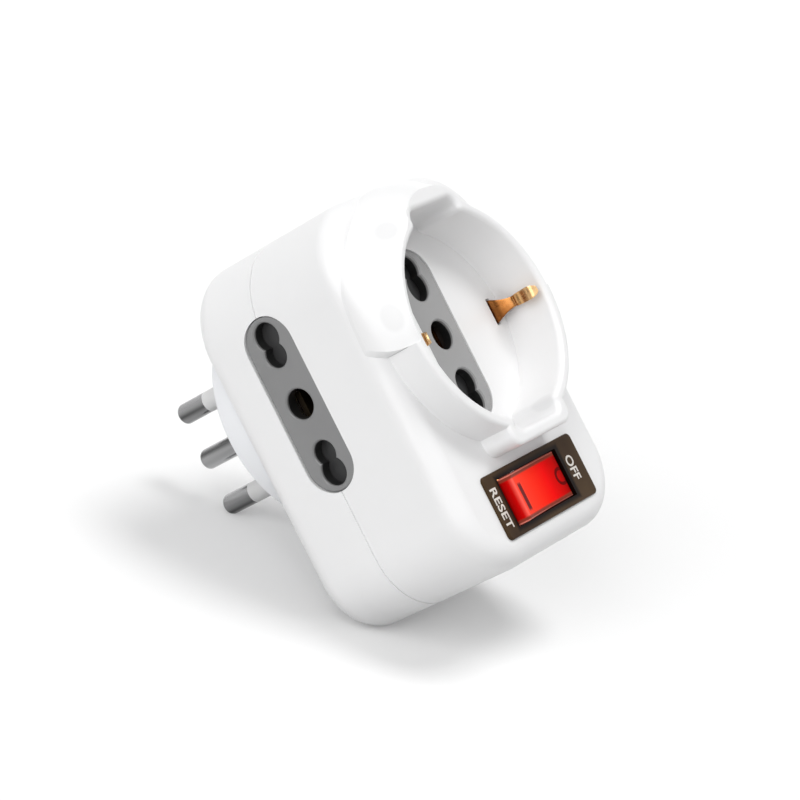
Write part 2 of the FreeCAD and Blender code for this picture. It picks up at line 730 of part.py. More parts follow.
def rocker():
    """The rocker: ends struck from the pivot, a slightly hollow top, tilted to its rest position."""
    end = rocker_end_radius
    top_x = math.sqrt(end ** 2 - rocker_end_top ** 2)
    low_x = math.sqrt(end ** 2 - rocker_skirt ** 2)
    middle = 0.5 * (math.atan2(rocker_end_top, top_x) + math.atan2(rocker_skirt, low_x))
    side_x, side_y = end * math.cos(middle), -end * math.sin(middle)
    wide, narrow = rocker_hub_wide, rocker_hub_narrow
    edges = [Part.Arc(Vector(-top_x, -rocker_end_top, 0), Vector(0, -rocker_top, 0),
                      Vector(top_x, -rocker_end_top, 0)).toShape(),
             Part.Arc(Vector(top_x, -rocker_end_top, 0), Vector(side_x, side_y, 0),
                      Vector(low_x, -rocker_skirt, 0)).toShape(),
             Part.makeLine(Vector(low_x, -rocker_skirt, 0), Vector(wide, -rocker_skirt, 0)),
             Part.makeLine(Vector(wide, -rocker_skirt, 0), Vector(narrow, narrow, 0)),
             Part.makeLine(Vector(narrow, narrow, 0), Vector(-narrow, narrow, 0)),
             Part.makeLine(Vector(-narrow, narrow, 0), Vector(-wide, -rocker_skirt, 0)),
             Part.makeLine(Vector(-wide, -rocker_skirt, 0), Vector(-low_x, -rocker_skirt, 0)),
             Part.Arc(Vector(-low_x, -rocker_skirt, 0), Vector(-side_x, side_y, 0),
                      Vector(-top_x, -rocker_end_top, 0)).toShape()]
    face = Part.Face(Part.Wire(edges))
    body = face.extrude(Vector(0, 0, 2 * rocker_half_height))
    body.translate(Vector(0, 0, -rocker_half_height))
    high = [e for e in body.Edges if e.BoundBox.YMax < -rocker_top + 0.01]
    body = body.makeFillet(0.35, high)
    bore = Part.makeCylinder(pivot_radius + pivot_fit, 2 * rocker_half_height + 2,
                             Vector(0, 0, -rocker_half_height - 1))
    socket = rod(plunger_radius + pivot_fit, plunger_root, rocker_hub_narrow + 0.4)
    body = body.cut(bore).cut(socket)
    body.rotate(Vector(0, 0, 0), Vector(0, 0, 1), rocker_tilt)
    body.translate(Vector(rocker_x, rocker_pivot_y, switch_z))
    return body


def plunger():
    """The sprung plunger under the rocker that throws the contact arm."""
    stem = rod(plunger_radius, plunger_root, plunger_tip)
    stem = stem.makeFillet(0.8, edges_in_plane(stem, plunger_tip))
    stem.rotate(Vector(0, 0, 0), Vector(0, 0, 1), rocker_tilt)
    stem.translate(Vector(rocker_x, rocker_pivot_y, switch_z))
    return stem


def contact_arm():
    """The tilting arm that closes the switch, with a contact button at each end."""
    strip = box(-arm_half_length - rocker_x, arm_half_length - rocker_x, -arm_thickness / 2, arm_thickness / 2,
                -arm_half_height, arm_half_height)
    buttons = [rod(button_radius, arm_thickness / 2 - 0.1, arm_thickness / 2 + button_height,
                   s * terminal_x - rocker_x, 0) for s in (-1, 1)]
    reach = arm_half_height + arm_knuckle_end
    knuckle = Part.makeCylinder(arm_knuckle, 2 * reach, Vector(0, 0, -reach))
    arm = merge([strip, knuckle] + buttons)
    arm.rotate(Vector(0, 0, 0), Vector(0, 0, 1), -arm_tilt)
    arm.translate(Vector(rocker_x, arm_y, switch_z))
    return arm


def switch_case():
    """The box behind the bezel that holds the terminals, lamp and bimetal strip."""
    case = box(-case_half_length, case_half_length, bezel_end_y, case_end_y,
               switch_z - case_half_height, switch_z + case_half_height)
    room = box(-case_half_length + case_wall, case_half_length - case_wall, bezel_end_y - 1, case_end_y - case_wall,
               switch_z - case_half_height + case_wall, switch_z + case_half_height - case_wall)
    slots = [box(x - terminal_half, x + terminal_half, case_end_y - 2, case_end_y + 1,
                 switch_z - arm_half_height, switch_z + arm_half_height) for x in (-terminal_x, 0, terminal_x)]
    return case.cut([room] + slots)


def terminal(x, top_y):
    """A flat terminal standing through the back of the switch case."""
    return box(x - terminal_half, x + terminal_half, top_y, -bar_half,
               switch_z - arm_half_height, switch_z + arm_half_height)


def casing_screws():
    """Four pan-head screws with crossed slots, set deep in the rear wells."""
    screws = []
    for x, z in screw_places():
        shank = rod(screw_radius - 0.15, screw_end_y, screw_head_y, x, z)
        head = rod(screw_head_radius, screw_head_y, screw_head_y + screw_head_height, x, z)
        head = head.makeFillet(0.6, edges_in_plane(head, screw_head_y + screw_head_height))
        top = screw_head_y + screw_head_height
        half, reach, low = screw_slot_half, screw_slot_reach, top - screw_slot_depth
        cross = box(x - reach, x + reach, low, top + 1, z - half, z + half)
        cross = cross.fuse(box(x - half, x + half, low, top + 1, z - reach, z + reach))
        screws.append(merge([shank, head]).cut(cross))
    return Part.makeCompound(screws)


def ring_screws():
    """Three small screws through the retaining ring."""
    screws = []
    for x, z in ring_screw_places():
        shank = rod(ring_screw_radius, ring_end_y - 0.2, neck_end_y + ring_screw_grip, x, z)
        head = rod(ring_screw_head, ring_end_y - ring_screw_radius, ring_end_y, x, z)
        screws.append(merge([shank, head]))
    return Part.makeCompound(screws)


# Casing
save(front_shell(), "front_shell")
save(rear_shell(), "rear_shell")
save(casing_screws(), "casing_screws")

# Socket plates, shutters, springs and clips
side_plate = socket_plate(side_near_hole, side_far_hole, plate_face)
front_plate = socket_plate(front_near_hole, front_far_hole, front_flange_y - floor_y - 0.1)
save(moved(front_plate, y=floor_y + 0.1), "front_plate")
save(moved(shutter(), y=front_shutter_y), "shutter_front")
front_spring = spring(spring_radius, spring_wire, spring_length, spring_turns)
save(moved(front_spring, x=spring_start, y=front_shutter_y + shutter_thickness / 2), "spring_front")
for pole, sign in (("line", -1), ("neutral", 1)):
    save(moved(pole_clip(sign), y=front_clip_y), "clip_front_" + pole)
save(moved(centre_clip(clip_depth - 1), y=front_clip_y), "clip_front_earth")

for name, side in (("left", -1), ("right", 1)):
    save(turned(moved(side_plate, y=-plate_flange_x - plate_face), side), "side_plate_" + name)
    cover = shutter()
    if side > 0:
        cover = cover.mirror(Vector(0, 0, 0), Vector(1, 0, 0))
    cover = turned(moved(cover, y=-shutter_x), side)
    if cover.BoundBox.YMax < shutter_half + 1:
        cover = cover.mirror(Vector(0, 0, 0), Vector(0, 1, 0))
    save(cover, "shutter_" + name)
    coil = front_spring.copy()
    coil.rotate(Vector(0, 0, 0), Vector(0, 0, 1), 90)
    save(moved(coil, x=side * (shutter_x - shutter_thickness / 2), y=spring_start), "spring_" + name)
    for pole, sign in (("line", -1), ("neutral", 1)):
        save(turned(moved(pole_clip(sign), y=-clip_x), side), "clip_" + name + "_" + pole)
    save(turned(moved(centre_clip(clip_depth), y=-clip_x), side), "clip_" + name + "_earth")
    save(earth_spring(side), "earth_clip_" + name)

# Bars and the feed to them
line_bar = pole_bar(-1)
switch_feed = box(terminal_x - 1, terminal_x + 1, -bar_half, -bar_half + bar_thickness,
                  switch_z - arm_half_height, -bar_z)
save(merge([line_bar, switch_feed]), "line_bus")
save(pole_bar(1), "neutral_bus")
save(earth_bar(), "earth_bus")
save(arc_contact(-1), "line_arc")
save(arc_contact(1), "neutral_arc")
save(contact_carrier(), "contact_carrier")

# Rotating plug
tail_y = arc_top_y + slide_gap
earth_tail_y = clip_outer + bar_thickness + slide_gap
save(plug_base(), "plug_base")
save(sleeved_pin(-pin_pitch, tail_y), "pin_line")
save(sleeved_pin(pin_pitch, tail_y), "pin_neutral")
save(pin(0, earth_tail_y), "pin_earth")
save(sleeve(-pin_pitch), "sleeve_line")
save(sleeve(pin_pitch), "sleeve_neutral")
save(retaining_ring(), "retaining_ring")
save(ring_screws(), "ring_screws")

# Switch
save(switch_bezel(), "switch_bezel")
save(rocker(), "rocker")
save(plunger(), "plunger")
save(Part.makeCylinder(pivot_radius, pivot_length,
                       Vector(rocker_x, rocker_pivot_y, switch_z - pivot_length / 2)), "rocker_pin")
save(contact_arm(), "contact_arm")
save(switch_case(), "switch_case")
end_y = arm_y + arm_thickness / 2 + button_gap
save(terminal(-terminal_x, end_y), "terminal_in")
save(terminal(0, arm_y + arm_thickness / 2 + lamp_gap), "terminal_lamp")
save(terminal(terminal_x, end_y), "terminal_out")
bimetal_z = switch_z - bimetal_low
save(box(-bimetal_half, bimetal_half, bimetal_front_y, case_end_y - case_wall, bimetal_z,
         bimetal_z + bimetal_thickness), "bimetal_strip")
lamp = rod_x(lamp_radius, -lamp_half, lamp_half, lamp_y, switch_z + lamp_rise)
lamp_end = [e for e in lamp.Edges if e.BoundBox.XMin > lamp_half - 0.1]
save(lamp.makeFillet(0.6, lamp_end), "neon_lamp")
save(rod_x(resistor_radius, -resistor_half, resistor_half, resistor_y, switch_z + resistor_rise), "lamp_resistor")
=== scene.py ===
import bpy
import math
from mathutils import Matrix, Vector


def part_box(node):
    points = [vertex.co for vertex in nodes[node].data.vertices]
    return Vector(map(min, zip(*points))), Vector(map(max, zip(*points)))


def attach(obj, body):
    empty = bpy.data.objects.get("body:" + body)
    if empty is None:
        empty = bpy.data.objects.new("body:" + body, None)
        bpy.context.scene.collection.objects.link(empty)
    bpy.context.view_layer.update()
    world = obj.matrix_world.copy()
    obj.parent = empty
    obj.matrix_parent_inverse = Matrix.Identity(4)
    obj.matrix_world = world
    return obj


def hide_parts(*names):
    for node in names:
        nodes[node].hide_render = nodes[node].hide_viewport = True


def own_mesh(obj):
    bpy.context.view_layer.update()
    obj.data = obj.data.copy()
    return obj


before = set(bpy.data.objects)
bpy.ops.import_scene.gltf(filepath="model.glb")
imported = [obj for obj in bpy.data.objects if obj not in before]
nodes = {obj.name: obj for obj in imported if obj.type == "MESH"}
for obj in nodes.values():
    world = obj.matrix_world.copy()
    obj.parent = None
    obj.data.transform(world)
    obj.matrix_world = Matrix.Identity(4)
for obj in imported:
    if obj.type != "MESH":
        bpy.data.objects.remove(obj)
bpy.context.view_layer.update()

# Front casing half. Satin moulded white plastic, closed on the rear half along the seam.
# The recess for round plugs, its collar and the raised shoulder are moulded in one with it.


def new_material(name):
    """An empty material and its node tree and shader."""
    material = bpy.data.materials.new(name)
    material.use_nodes = True
    tree = material.node_tree
    return material, tree, tree.nodes["Principled BSDF"]


def noise(tree, scale, detail=3.0, stretch=(1.0, 1.0, 1.0)):
    """Noise on Object coordinates, which can be drawn out along an axis; returns its value."""
    coordinates = tree.nodes.new("ShaderNodeTexCoord")
    mapping = tree.nodes.new("ShaderNodeMapping")
    mapping.inputs["Scale"].default_value = stretch
    texture = tree.nodes.new("ShaderNodeTexNoise")
    texture.inputs["Scale"].default_value = scale
    texture.inputs["Detail"].default_value = detail
    tree.links.new(coordinates.outputs["Object"], mapping.inputs["Vector"])
    tree.links.new(mapping.outputs["Vector"], texture.inputs["Vector"])
    return texture.outputs["Fac"]


noise_low, noise_high = 0.3, 0.7


def spread(tree, value, low, high):
    """Maps the middle of a noise value onto a range."""
    ramp = tree.nodes.new("ShaderNodeMapRange")
    ramp.inputs["From Min"].default_value = noise_low
    ramp.inputs["From Max"].default_value = noise_high
    ramp.inputs["To Min"].default_value = low
    ramp.inputs["To Max"].default_value = high
    tree.links.new(value, ramp.inputs["Value"])
    return ramp.outputs["Result"]


def through_colours(tree, value, stops):
    """A colour that follows a value through these stops, each a place and a colour."""
    ramp = tree.nodes.new("ShaderNodeValToRGB")
    for element, (place, colour) in zip(ramp.color_ramp.elements, (stops[0], stops[-1])):
        element.position = place
        element.color = (*colour, 1.0)
    for place, colour in stops[1:-1]:
        ramp.color_ramp.elements.new(place).color = (*colour, 1.0)
    tree.links.new(value, ramp.inputs["Fac"])
    return ramp.outputs["Color"]


def two_tones(tree, value, dark, light):
    """A colour between two tones that follows a noise value."""
    return through_colours(tree, value, ((noise_low, dark), (noise_high, light)))


def grain(tree, shader, value, depth):
    """Surface relief in metres from a noise value."""
    bump = tree.nodes.new("ShaderNodeBump")
    bump.inputs["Strength"].default_value = 1.0
    bump.inputs["Distance"].default_value = depth
    tree.links.new(value, bump.inputs["Height"])
    tree.links.new(bump.outputs["Normal"], shader.inputs["Normal"])


def moulded_plastic(name, dark, light, rough, depth):
    """Injection-moulded plastic: faint mottling, uneven gloss and a fine tool grain."""
    mottle_scale, gloss_scale, grain_scale = 90.0, 240.0, 2600.0
    material, tree, shader = new_material(name)
    mottle = noise(tree, mottle_scale, detail=2.0)
    tree.links.new(two_tones(tree, mottle, dark, light), shader.inputs["Base Color"])
    tree.links.new(spread(tree, noise(tree, gloss_scale), *rough), shader.inputs["Roughness"])
    grain(tree, shader, noise(tree, grain_scale, detail=4.0), depth)
    return material


def dress(material, *names):
    """Gives CAD nodes their material."""
    for name in names:
        for slot in nodes[name].material_slots:
            slot.material = material


casing_white = moulded_plastic("casing_white", dark=(0.878, 0.878, 0.882), light=(0.884, 0.884, 0.887),
                               rough=(0.30, 0.34), depth=0.0000015)


def step(tree, value, start, end, top=1.0, soft=True):
    """0 at the start value and top at the end value, with a soft or an even change between."""
    ramp = tree.nodes.new("ShaderNodeMapRange")
    ramp.interpolation_type = "SMOOTHSTEP" if soft else "LINEAR"
    ramp.inputs["From Min"].default_value = start
    ramp.inputs["From Max"].default_value = end
    ramp.inputs["To Max"].default_value = top
    tree.links.new(value, ramp.inputs["Value"])
    return ramp.outputs["Result"]


def over(tree, colour, top, cover):
    """Lays a plain colour over another where cover is 1."""
    blend = tree.nodes.new("ShaderNodeMix")
    blend.data_type = "RGBA"
    blend.inputs["B"].default_value = (*top, 1.0)
    tree.links.new(cover, blend.inputs["Factor"])
    tree.links.new(colour, blend.inputs["A"])
    return blend.outputs["Result"]


# Three slightly greyer, softer patches on the collar and shoulder are painted shade, standing for shallow
# dimples of the mould that are not modelled.
dimple_shade_tone, dimple_shade_strength = (0.77, 0.77, 0.775), 0.6
dimple_shade_outer, dimple_shade_inner = 1.25, 0.8
dimple_shade_places = (((-0.0125, -0.0511, 0.0198), (0.0024, 0.0018, 0.0020)),
               ((-0.0218, -0.0508, 0.0058), (0.0014, 0.0022, 0.0026)),
               ((0.0075, -0.0506, -0.0188), (0.0020, 0.0026, 0.0012)))
tree = casing_white.node_tree
base_colour = tree.nodes["Principled BSDF"].inputs["Base Color"]
tone = base_colour.links[0].from_socket
coordinates = tree.nodes.new("ShaderNodeTexCoord")
for centre, half_size in dimple_shade_places:
    offset = coordinates.outputs["Object"]
    for operation, amounts in (("SUBTRACT", centre), ("DIVIDE", half_size)):
        change = tree.nodes.new("ShaderNodeVectorMath")
        change.operation = operation
        change.inputs[1].default_value = amounts
        tree.links.new(offset, change.inputs[0])
        offset = change.outputs["Vector"]
    reach = tree.nodes.new("ShaderNodeVectorMath")
    reach.operation = "LENGTH"
    tree.links.new(offset, reach.inputs[0])
    # Painted shade: each patch greys the white where a shallow dimple would lie.
    dimple_shade_patch = step(tree, reach.outputs["Value"], dimple_shade_outer, dimple_shade_inner, top=dimple_shade_strength)
    tone = over(tree, tone, dimple_shade_tone, dimple_shade_patch)
tree.links.new(tone, base_colour)
dress(casing_white, "front_shell")

# Front socket plate. Mid grey plastic in the floor of the recess, with its figure-of-eight pole holes.
# Its flange lies behind the floor, so that it can't be pulled out.
front_grey = moulded_plastic("front_grey", dark=(0.33, 0.33, 0.332), light=(0.36, 0.36, 0.362),
                             rough=(0.35, 0.5), depth=0.000004)


def place_on_piece(tree):
    """The X, Y and Z of a point in its piece's own coordinates."""
    coordinates = tree.nodes.new("ShaderNodeTexCoord")
    parts = tree.nodes.new("ShaderNodeSeparateXYZ")
    tree.links.new(coordinates.outputs["Object"], parts.inputs["Vector"])
    return parts.outputs


def combined(tree, operation, first, second=0.0):
    """One sum on two sockets or numbers; returns its result."""
    node = tree.nodes.new("ShaderNodeMath")
    node.operation = operation
    for socket, value in zip(node.inputs, (first, second)):
        if isinstance(value, (int, float)):
            socket.default_value = value
        else:
            tree.links.new(value, socket)
    return node.outputs[0]


def paint_hole_shade(material, axis, face):
    """Paints shade on a socket plate behind its face: the walls of its holes turn near black a little way in,
    as painted shade deep in the holes.
    """
    lit_depth, change, hole_shade_black = 0.00055, 0.0002, (0.012, 0.012, 0.012)
    tree = material.node_tree
    base_colour = tree.nodes["Principled BSDF"].inputs["Base Color"]
    from_centre = combined(tree, "ABSOLUTE", place_on_piece(tree)[axis])
    start = abs(face) - lit_depth
    behind = step(tree, from_centre, start, start - change, soft=False)
    tree.links.new(over(tree, base_colour.links[0].from_socket, hole_shade_black, behind), base_colour)


recess_floor_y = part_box("front_plate")[0][1]
# The walls of the front plate's pole holes get painted shade.
paint_hole_shade(front_grey, "Y", recess_floor_y)
dress(front_grey, "front_plate")

# Front shutter. Dark plastic that closes the pole holes until pins push it aside.
# A small steel spring stands against a post of the casing and pushes it back.
shutter_dark = moulded_plastic("shutter_dark", dark=(0.022, 0.022, 0.023), light=(0.035, 0.035, 0.036),
                               rough=(0.4, 0.55), depth=0.000010)
dress(shutter_dark, "shutter_front")


def drawn_metal(name, dark, light, rough, stretch, depth, tone_noise=(160.0, 2.0)):
    """Metal with fine marks drawn out along one axis, and tones that follow a noise of their own."""
    mark_scale = 900.0
    material, tree, shader = new_material(name)
    shader.inputs["Metallic"].default_value = 1.0
    marks = noise(tree, mark_scale, stretch=stretch)
    tree.links.new(two_tones(tree, noise(tree, *tone_noise), dark, light), shader.inputs["Base Color"])
    tree.links.new(spread(tree, marks, *rough), shader.inputs["Roughness"])
    grain(tree, shader, marks, depth)
    return material


spring_wire = drawn_metal("spring_wire", dark=(0.50, 0.50, 0.51), light=(0.68, 0.68, 0.69),
                          rough=(0.2, 0.35), stretch=(1, 1, 1), depth=0.000003)
dress(spring_wire, "spring_front")

# Contact clips of the front socket. Bent brass strip, two blades and a web for each pole.
# The earth clip is the same strip in dull bronze, and stands behind the middle hole.
contact_brass = drawn_metal("contact_brass", dark=(0.72, 0.52, 0.22), light=(0.85, 0.66, 0.34),
                            rough=(0.22, 0.4), stretch=(1, 1, 0.15), depth=0.000005)
clip_bronze = drawn_metal("clip_bronze", dark=(0.06, 0.045, 0.03), light=(0.12, 0.09, 0.055),
                          rough=(0.4, 0.55), stretch=(1, 1, 0.15), depth=0.000005)
dress(contact_brass, "clip_front_line", "clip_front_neutral")
dress(clip_bronze, "clip_front_earth")

# Copper springs on the recess wall. Bent strip with a wide foot, a waist and a rounded tip, pushed through a
# slot in the recess floor. Its colour runs from dark brown at the recess floor to bright gold towards the
# head, with stains.
copper, tree, shader = new_material("copper")
shader.inputs["Metallic"].default_value = 1.0
height = step(tree, place_on_piece(tree)["Y"], recess_floor_y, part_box("earth_clip_right")[0][1], soft=False)
tone_by_height = through_colours(tree, height, ((0.0, (0.26, 0.095, 0.026)), (0.25, (0.38, 0.15, 0.04)),
                                         (0.42, (0.60, 0.29, 0.10)), (0.60, (0.88, 0.55, 0.25)),
                                         (1.0, (0.90, 0.60, 0.30))))
stain = two_tones(tree, noise(tree, 420.0, detail=4.0), dark=(0.62, 0.55, 0.50), light=(1.0, 1.0, 1.0))
stained = tree.nodes.new("ShaderNodeMix")
stained.data_type = "RGBA"
stained.blend_type = "MULTIPLY"
stained.inputs["Factor"].default_value = 1.0
tree.links.new(tone_by_height, stained.inputs["A"])
tree.links.new(stain, stained.inputs["B"])
tree.links.new(stained.outputs["Result"], shader.inputs["Base Color"])
rubbing = noise(tree, 700.0, stretch=(1, 0.2, 1))
tree.links.new(spread(tree, rubbing, 0.2, 0.36), shader.inputs["Roughness"])
grain(tree, shader, noise(tree, 800.0), 0.00001)

millimetre = 0.001
copper_thickness = 0.0005
copper_edge_round = 0.0001
copper_sharp_angle = math.radians(50.0)
copper_smooth_angle = math.radians(40.0)


def smooth_course(stations, steps_between=5):
    """Points of a smooth curve through the stations."""
    course = []
    for i in range(len(stations) - 1):
        before, start = stations[max(i - 1, 0)], stations[i]
        end, after = stations[i + 1], stations[min(i + 2, len(stations) - 1)]
        for j in range(steps_between):
            t = j / steps_between
            course.append([0.5 * (2 * q + (r - o) * t + (2 * o - 5 * q + 4 * r - u) * t * t
                                  + (3 * q - o - 3 * r + u) * t ** 3)
                           for o, q, r, u in zip(before, start, end, after)])
    course.append(list(stations[-1]))
    return course


def copper_spring(side):
    """One bent copper strip: a strap under the recess floor, a wide foot, a waist and a rounded head."""
    strap_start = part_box("earth_clip_right")[0][0] / millimetre
    strap_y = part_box("earth_clip_right")[1][1] / millimetre - 0.7
    floor_y = recess_floor_y / millimetre
    # Stations along the strip in millimetres: X, Y, half width, on the face towards the plug.
    course = smooth_course((
        (strap_start, strap_y, 2.3), (9.0, strap_y, 2.3), (15.6, strap_y, 2.3), (16.5, strap_y - 0.12, 2.3),
        (16.8, strap_y - 0.6, 2.3), (16.8, floor_y + 0.2, 2.3), (16.95, floor_y - 1.2, 1.85),
        (17.5, floor_y - 2.5, 1.32), (18.15, floor_y - 3.6, 1.03), (18.4, floor_y - 4.3, 1.0),
        (18.15, floor_y - 5.0, 1.08), (18.2, floor_y - 6.1, 1.15), (17.5, floor_y - 7.6, 1.18),
        (17.1, floor_y - 8.6, 1.2), (17.4, floor_y - 9.5, 1.05), (18.0, floor_y - 9.95, 0.75),
        (18.3, floor_y - 10.1, 0.4)))
    last = len(course) - 1
    bpy.ops.object.select_all(action="DESELECT")
    bpy.ops.mesh.primitive_grid_add(x_subdivisions=last, y_subdivisions=8, size=2.0)
    strip = bpy.context.object
    strip.name = "copper_spring_" + ("right" if side > 0 else "left")
    for vertex in strip.data.vertices:
        x, y, half_width = course[round((vertex.co.x + 1.0) * 0.5 * last)]
        vertex.co = (side * x * millimetre, y * millimetre, vertex.co.y * half_width * millimetre)
    if side * sum(face.normal.x * face.area for face in strip.data.polygons) > 0:
        bpy.ops.object.mode_set(mode="EDIT")
        bpy.ops.mesh.select_all(action="SELECT")
        bpy.ops.mesh.flip_normals()
        bpy.ops.object.mode_set(mode="OBJECT")
    sheet = strip.modifiers.new("sheet", "SOLIDIFY")
    sheet.thickness = copper_thickness
    sheet.offset = -1.0
    bpy.ops.object.modifier_apply(modifier="sheet")
    edges = strip.modifiers.new("edges", "BEVEL")
    edges.width = copper_edge_round
    edges.segments = 2
    edges.limit_method = "ANGLE"
    edges.angle_limit = copper_sharp_angle
    bpy.ops.object.modifier_apply(modifier="edges")
    bpy.ops.object.shade_smooth_by_angle(angle=copper_smooth_angle)
    strip.data.materials.append(copper)
    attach(strip, "casing")
    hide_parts("earth_clip_right" if side > 0 else "earth_clip_left")


for side in (-1, 1):
    copper_spring(side)

# Side sockets. Dark grey plates let into both halves across the seam, with shutters, springs and
# brass clips behind them as in the front socket.
side_grey = moulded_plastic("side_grey", dark=(0.23, 0.23, 0.232), light=(0.25, 0.25, 0.252),
                            rough=(0.32, 0.46), depth=0.000004)
# The walls of the side plates' pole holes get painted shade.
paint_hole_shade(side_grey, "X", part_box("side_plate_left")[0][0])
dress(side_grey, "side_plate_left", "side_plate_right")
dress(shutter_dark, "shutter_left", "shutter_right")
dress(spring_wire, "spring_left", "spring_right")

# Each return spring stands against its post, and on the real socket is pressed short as its shutter slides
# open; here each only gets a mesh of its own.
for name, axis in (("front", (1, 0, 0)), ("left", (0, 1, 0)), ("right", (0, 1, 0))):
    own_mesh(nodes["spring_" + name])

dress(contact_brass, "clip_left_line", "clip_left_neutral", "clip_right_line", "clip_right_neutral")
dress(clip_bronze, "clip_left_earth", "clip_right_earth")

# Bars. Flat strip that joins the clips of each pole and of the earth: brass for the poles, dull bronze
# for the earth. They lie on pillars of the front half.
dress(contact_brass, "line_bus", "neutral_bus")
dress(clip_bronze, "earth_bus")

# Switch frame. Near-black brown plastic pressed into the front half, with printed words at both ends.
# Its surface is dull, and the print is thin off-white ink.
switch_brown = moulded_plastic("switch_brown", dark=(0.034, 0.018, 0.009), light=(0.070, 0.043, 0.022),
                               rough=(0.3, 0.42), depth=0.000004)
switch_brown.node_tree.nodes["Principled BSDF"].inputs["Specular IOR Level"].default_value = 0.08
dress(switch_brown, "switch_bezel")

print_white = moulded_plastic("print_white", dark=(0.62, 0.58, 0.53), light=(0.78, 0.75, 0.70),
                              rough=(0.45, 0.6), depth=0.000004)
bezel_front_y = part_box("switch_bezel")[0][1]
print_bite, print_thickness = 0.00003, 0.00006


def printed_word(word, centre_x, centre_z, length, height):
    """A printed word that reads downwards, on the front of the switch frame."""
    bpy.ops.object.select_all(action="DESELECT")
    bpy.ops.object.text_add(location=(0, 0, 0))
    text = bpy.context.object
    text.data.body = word
    text.data.extrude = 0.02
    text.data.offset = 0.018
    text.data.resolution_u = 6
    bpy.ops.object.convert(target="MESH")
    text = bpy.context.object
    text.name = "word_" + word.lower()
    points = [vertex.co.copy() for vertex in text.data.vertices]
    low = [min(point[i] for point in points) for i in range(3)]
    high = [max(point[i] for point in points) for i in range(3)]
    for vertex in text.data.vertices:
        along, up, depth = ((vertex.co[i] - low[i]) / (high[i] - low[i]) for i in range(3))
        vertex.co = (centre_x + (up - 0.5) * height, bezel_front_y + print_bite - print_thickness * depth,
                     centre_z - (along - 0.5) * length)
    text.data.materials.clear()
    text.data.materials.append(print_white)
    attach(text, "casing")


printed_word("OFF", centre_x=0.0113, centre_z=-0.0314, length=0.0047, height=0.0022)
printed_word("RESET", centre_x=-0.0136, centre_z=-0.0317, length=0.0076, height=0.0020)

# Rocker. Clear red plastic on a steel pin, with a clear lip along its sides. Its glow is painted light: it
# emits its own colour, which is brightest over the lamp behind it and darkens towards its ends, standing in
# for the lamp's light through it. Its sides are a duller red and glow less, and a pale painted glint runs
# along them.
rocker_red, tree, shader = new_material("rocker_red")
shader.inputs["Specular IOR Level"].default_value = 0.03
# Painted glow: the rocker emits its own colour.
shader.inputs["Emission Strength"].default_value = 0.12
low_corner, high_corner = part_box("rocker")
rocker_middle_x = 0.5 * (low_corner[0] + high_corner[0])
rocker_middle_z = 0.5 * (low_corner[2] + high_corner[2])
place = place_on_piece(tree)
along = step(tree, place["X"], low_corner[0], high_corner[0], soft=False)
# Painted light along its length: dark at the ends, bright over the lamp, and a pale pinkish band near the
# left end that is a painted highlight on its ridge.
tone = through_colours(tree, along, ((0.0, (0.20, 0.0, 0.0)), (0.045, (0.55, 0.0, 0.0)),
                                     (0.07, (0.95, 0.12, 0.09)), (0.11, (0.98, 0.035, 0.006)),
                                     (0.45, (0.95, 0.016, 0.0)), (0.70, (0.86, 0.0, 0.0)),
                                     (0.90, (0.50, 0.0, 0.0)), (1.0, (0.14, 0.0, 0.0))))
from_middle = combined(tree, "ABSOLUTE", combined(tree, "SUBTRACT", place["Z"], rocker_middle_z))
side_wall = step(tree, from_middle, 0.0034, 0.0038)
side_glint = step(tree, from_middle, 0.00405, 0.0042, top=0.7)
tone = over(tree, tone, (0.22, 0.035, 0.02), side_wall)
tone = over(tree, tone, (0.75, 0.22, 0.17), side_glint)

# Its marks, moulded in a darker red: a bar for on and a ring for off.
marks_middle_z = rocker_middle_z - 0.0003
bar_middle_x, bar_half_width, bar_half_length = -0.0076, 0.0007, 0.0024
ring_middle_x, ring_radius = 0.0074, 0.0014
ring_outer, ring_inner = 0.00040, 0.00022
marks_deepest, marks_front = bezel_front_y + 0.0016, bezel_front_y + 0.0012
marks_red = (0.13, 0.0, 0.0)
bar_across = combined(tree, "ABSOLUTE", combined(tree, "SUBTRACT", place["X"], bar_middle_x))
bar_along = combined(tree, "ABSOLUTE", combined(tree, "SUBTRACT", place["Z"], marks_middle_z))
bar_reach = combined(tree, "MAXIMUM", combined(tree, "DIVIDE", bar_across, bar_half_width),
                     combined(tree, "DIVIDE", bar_along, bar_half_length))
ring_x = combined(tree, "SUBTRACT", place["X"], ring_middle_x)
ring_z = combined(tree, "SUBTRACT", place["Z"], marks_middle_z)
ring_reach = combined(tree, "SQRT", combined(tree, "ADD", combined(tree, "MULTIPLY", ring_x, ring_x),
                                             combined(tree, "MULTIPLY", ring_z, ring_z)))
ring_band = combined(tree, "ABSOLUTE", combined(tree, "SUBTRACT", ring_reach, ring_radius))
marks = combined(tree, "MAXIMUM", step(tree, bar_reach, 1.2, 0.9),
                 step(tree, ring_band, ring_outer, ring_inner))
on_front = step(tree, place["Y"], marks_deepest, marks_front)
tone = over(tree, tone, marks_red, combined(tree, "MULTIPLY", marks, on_front))
tree.links.new(tone, shader.inputs["Base Color"])
tree.links.new(tone, shader.inputs["Emission Color"])
tree.links.new(spread(tree, noise(tree, 300.0, detail=2.0), 0.16, 0.26), shader.inputs["Roughness"])
dress(rocker_red, "rocker")
dress(spring_wire, "rocker_pin")

